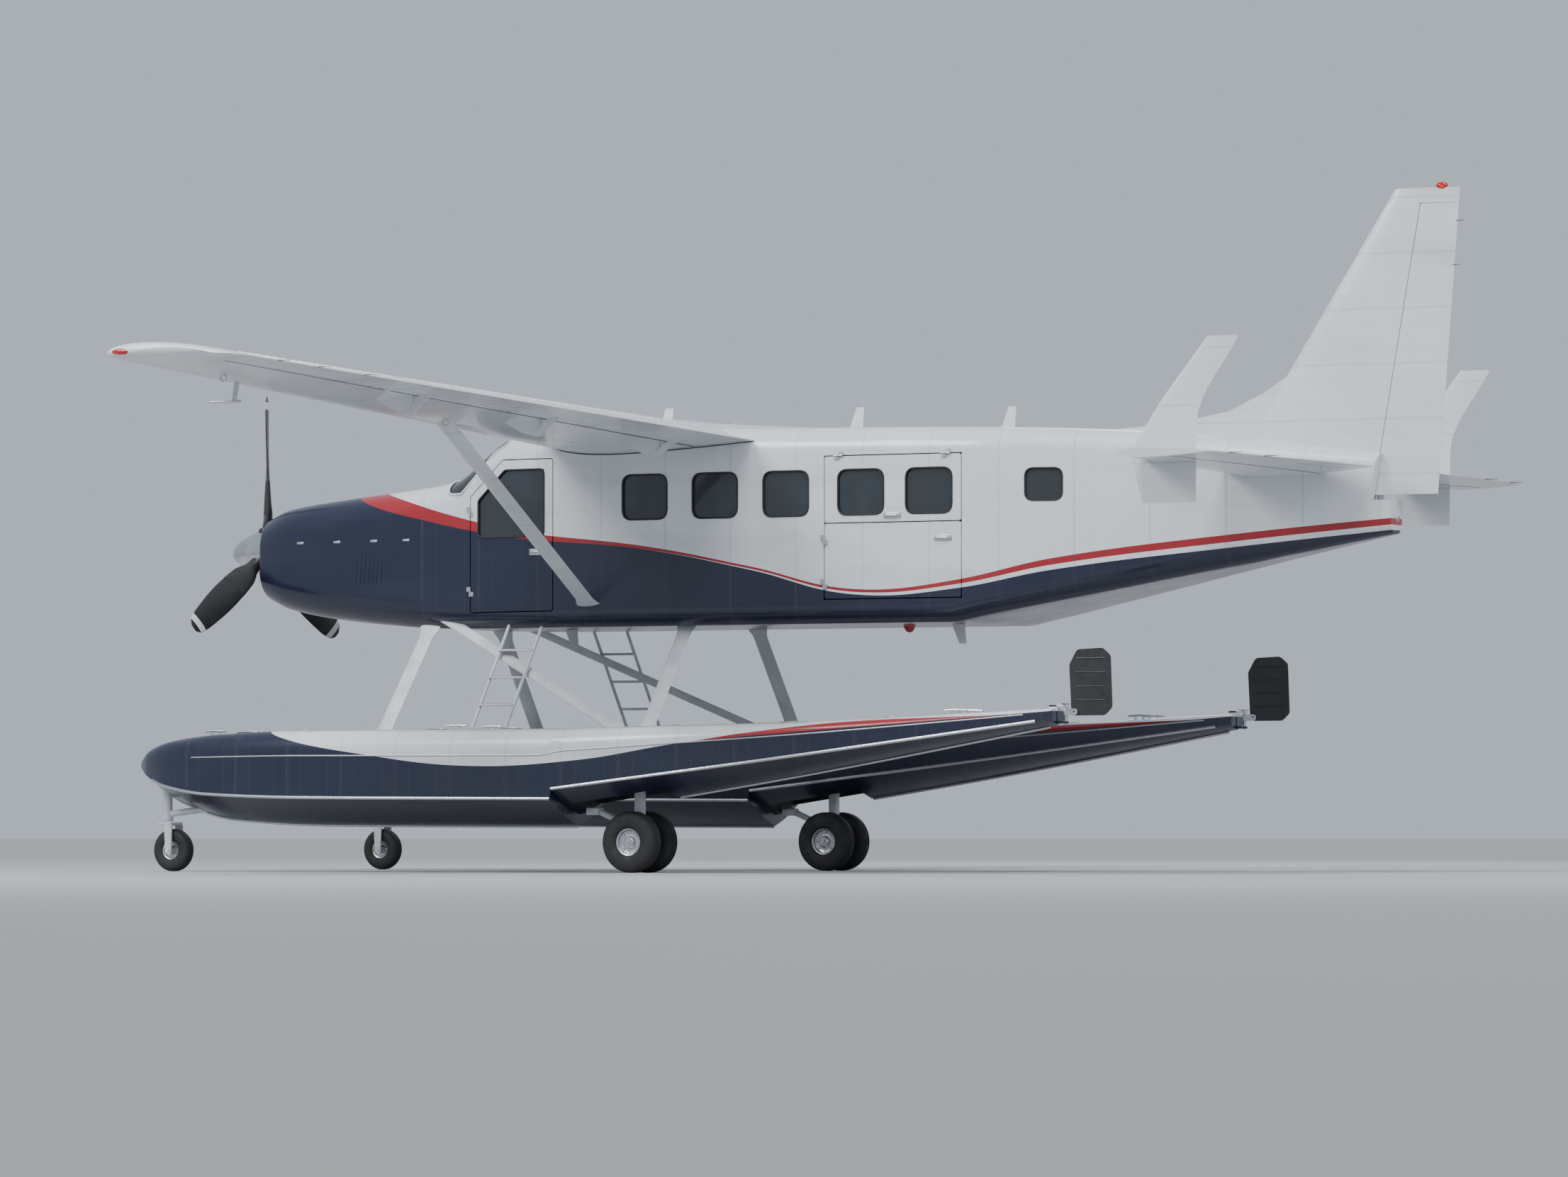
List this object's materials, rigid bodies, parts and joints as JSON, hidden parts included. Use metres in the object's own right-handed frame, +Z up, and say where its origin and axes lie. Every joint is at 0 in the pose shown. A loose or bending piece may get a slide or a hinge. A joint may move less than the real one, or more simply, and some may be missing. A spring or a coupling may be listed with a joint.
{
  "type": "amphibious floatplane",
  "caption": "High-wing turboprop utility aircraft on two amphibious floats, standing on its wheels, with hinged control surfaces, doors and water rudders.",
  "frame": {"origin": "on the ground, under the middle of the aircraft's bounding box, with the aircraft on its wheels", "axes": "+X towards the nose, +Y to port along the span, +Z up"},
  "size_m": [11.455, 15.874, 5.45],
  "materials": {
    "white_paint": "gloss",
    "white_aluminium": "gloss",
    "navy_paint": "gloss",
    "navy_aluminium": "gloss",
    "strut_paint": "gloss",
    "black_composite": "satin",
    "polished_metal": "satin",
    "dark_metal": "matte",
    "glazing": "gloss",
    "tyre_rubber": "matte",
    "seat_leather": "matte",
    "panel_black": "matte"
  },
  "bodies": {
    "airframe": {"wing_center": "white_aluminium", "wing_left": "white_aluminium", "wing_right": "white_aluminium", "stabilizer": "white_aluminium", "tail_cone": "white_aluminium", "fin": "white_aluminium", "finlet_left": "white_aluminium", "finlet_right": "white_aluminium", "cabin_shell": "white_paint", "windscreen": "glazing", "cabin_glass_left": "glazing", "cabin_glass_right": "glazing", "crew_seats": "seat_leather", "cabin_seats": "seat_leather", "instrument_panel": "panel_black", "engine_cowling": "navy_paint", "engine_block": "dark_metal", "exhaust_stack": "polished_metal", "float_left": "navy_aluminium", "float_right": "navy_aluminium", "front_float_struts": "strut_paint", "rear_float_struts": "strut_paint", "diagonal_brace_left": "strut_paint", "wing_strut_left": "strut_paint", "diagonal_brace_right": "strut_paint", "wing_strut_right": "strut_paint", "main_gear_leg_left": "strut_paint", "bow_gear_leg_left": "strut_paint", "main_gear_leg_right": "strut_paint", "bow_gear_leg_right": "strut_paint"},
    "propeller": {"propeller": "black_composite", "spinner": "polished_metal"},
    "aileron_left": {"aileron_left": "white_aluminium"},
    "aileron_right": {"aileron_right": "white_aluminium"},
    "flap_left": {"flap_left": "white_aluminium"},
    "flap_right": {"flap_right": "white_aluminium"},
    "elevator": {"elevator": "white_aluminium"},
    "rudder": {"rudder": "white_aluminium"},
    "crew_door_left": {"crew_door_left": "white_paint"},
    "crew_door_right": {"crew_door_right": "white_paint"},
    "cargo_door_upper": {"cargo_door_upper": "white_paint"},
    "cargo_door_lower": {"cargo_door_lower": "white_paint"},
    "passenger_door_upper": {"passenger_door_upper": "white_paint"},
    "passenger_door_lower": {"passenger_door_lower": "white_paint"},
    "water_rudder_post_left": {"water_rudder_post_left": "polished_metal"},
    "water_rudder_blade_left": {"water_rudder_blade_left": "dark_metal"},
    "water_rudder_post_right": {"water_rudder_post_right": "polished_metal"},
    "water_rudder_blade_right": {"water_rudder_blade_right": "dark_metal"},
    "bow_fork_left": {"bow_fork_left": "strut_paint"},
    "bow_wheel_left": {"bow_tyre_left": "tyre_rubber", "bow_wheel_hub_left": "polished_metal"},
    "main_wheels_left": {"main_tyre_left_outer": "tyre_rubber", "main_tyre_left_inner": "tyre_rubber", "main_wheel_hubs_left": "polished_metal"},
    "bow_fork_right": {"bow_fork_right": "strut_paint"},
    "bow_wheel_right": {"bow_tyre_right": "tyre_rubber", "bow_wheel_hub_right": "polished_metal"},
    "main_wheels_right": {"main_tyre_right_outer": "tyre_rubber", "main_tyre_right_inner": "tyre_rubber", "main_wheel_hubs_right": "polished_metal"}
  },
  "joints": [
    {"name": "propeller_spin", "type": "hinge", "parent": "airframe", "child": "propeller", "pos_m": [5.4, 0, 2.73], "axis": [1, 0, 0], "continuous": true},
    {"name": "aileron_left_hinge", "type": "hinge", "parent": "airframe", "child": "aileron_left", "pos_m": [0.92237, 5.45, 3.79116], "axis": [0.045, 0.998, 0.0437], "range_deg": [-20, 20]},
    {"name": "aileron_right_hinge", "type": "hinge", "parent": "airframe", "child": "aileron_right", "pos_m": [0.92237, -5.45, 3.79116], "axis": [-0.045, 0.998, -0.0437], "range_deg": [-20, 20]},
    {"name": "flap_left_hinge", "type": "hinge", "parent": "airframe", "child": "flap_left", "pos_m": [0.8057, 0.86, 3.40025], "axis": [-0.0377, -0.9983, -0.0437], "range_deg": [0, 30]},
    {"name": "flap_right_hinge", "type": "hinge", "parent": "airframe", "child": "flap_right", "pos_m": [0.8057, -0.86, 3.40025], "axis": [0.0377, -0.9983, 0.0437], "range_deg": [0, 30]},
    {"name": "elevator_hinge", "type": "hinge", "parent": "airframe", "child": "elevator", "pos_m": [-4.64, 0, 3.23], "axis": [0, 1, 0], "range_deg": [-20, 25]},
    {"name": "rudder_hinge", "type": "hinge", "parent": "airframe", "child": "rudder", "pos_m": [-5.00143, 0, 3.015], "axis": [-0.1733, 0, 0.9849], "range_deg": [-25, 25]},
    {"name": "crew_door_left_hinge", "type": "hinge", "parent": "airframe", "child": "crew_door_left", "pos_m": [2.9345, 0.746, 2.33], "axis": [0, 0, -1], "range_deg": [0, 85]},
    {"name": "crew_door_right_hinge", "type": "hinge", "parent": "airframe", "child": "crew_door_right", "pos_m": [2.9345, -0.746, 2.33], "axis": [0, 0, 1], "range_deg": [0, 85]},
    {"name": "cargo_door_upper_hinge", "type": "hinge", "parent": "airframe", "child": "cargo_door_upper", "pos_m": [-1.09, 0.847, 3.3945], "axis": [1, 0, 0], "range_deg": [0, 100]},
    {"name": "cargo_door_lower_hinge", "type": "hinge", "parent": "airframe", "child": "cargo_door_lower", "pos_m": [-0.4655, 0.847, 2.33], "axis": [0, 0, -1], "range_deg": [0, 95]},
    {"name": "passenger_door_upper_hinge", "type": "hinge", "parent": "airframe", "child": "passenger_door_upper", "pos_m": [-1.12, -0.847, 3.3945], "axis": [-1, 0, 0], "range_deg": [0, 100]},
    {"name": "passenger_door_lower_hinge", "type": "hinge", "parent": "airframe", "child": "passenger_door_lower", "pos_m": [-1.12, -0.847, 2.2255], "axis": [1, 0, 0], "range_deg": [0, 150]},
    {"name": "water_rudder_steer_left", "type": "hinge", "parent": "airframe", "child": "water_rudder_post_left", "pos_m": [-3.07, 1.7, 1.28], "axis": [0, 0, 1], "range_deg": [-30, 30]},
    {"name": "water_rudder_lift_left", "type": "hinge", "parent": "water_rudder_post_left", "child": "water_rudder_blade_left", "pos_m": [-3.15, 1.7, 1.28], "axis": [0, -1, 0], "range_deg": [0, 90]},
    {"name": "water_rudder_steer_right", "type": "hinge", "parent": "airframe", "child": "water_rudder_post_right", "pos_m": [-3.07, -1.7, 1.28], "axis": [0, 0, 1], "range_deg": [-30, 30]},
    {"name": "water_rudder_lift_right", "type": "hinge", "parent": "water_rudder_post_right", "child": "water_rudder_blade_right", "pos_m": [-3.15, -1.7, 1.28], "axis": [0, -1, 0], "range_deg": [0, 90]},
    {"name": "bow_castor_left", "type": "hinge", "parent": "airframe", "child": "bow_fork_left", "pos_m": [5.31, 1.7, 0.48], "axis": [0, 0, 1], "continuous": true},
    {"name": "bow_wheel_left_spin", "type": "hinge", "parent": "bow_fork_left", "child": "bow_wheel_left", "pos_m": [5.25, 1.7, 0.17778], "axis": [0, 1, 0], "continuous": true},
    {"name": "main_wheels_left_spin", "type": "hinge", "parent": "airframe", "child": "main_wheels_left", "pos_m": [0.77, 1.7, 0.2489], "axis": [0, 1, 0], "continuous": true},
    {"name": "bow_castor_right", "type": "hinge", "parent": "airframe", "child": "bow_fork_right", "pos_m": [5.31, -1.7, 0.48], "axis": [0, 0, 1], "continuous": true},
    {"name": "bow_wheel_right_spin", "type": "hinge", "parent": "bow_fork_right", "child": "bow_wheel_right", "pos_m": [5.25, -1.7, 0.17778], "axis": [0, 1, 0], "continuous": true},
    {"name": "main_wheels_right_spin", "type": "hinge", "parent": "airframe", "child": "main_wheels_right", "pos_m": [0.77, -1.7, 0.2489], "axis": [0, 1, 0], "continuous": true}
  ],
  "couplings": [
    {"joint": "aileron_right_hinge", "follows": "aileron_left_hinge", "ratio": -1},
    {"joint": "flap_right_hinge", "follows": "flap_left_hinge", "ratio": 1},
    {"joint": "water_rudder_steer_left", "follows": "rudder_hinge", "ratio": 1},
    {"joint": "water_rudder_steer_right", "follows": "rudder_hinge", "ratio": 1},
    {"joint": "water_rudder_lift_right", "follows": "water_rudder_lift_left", "ratio": 1}
  ]
}
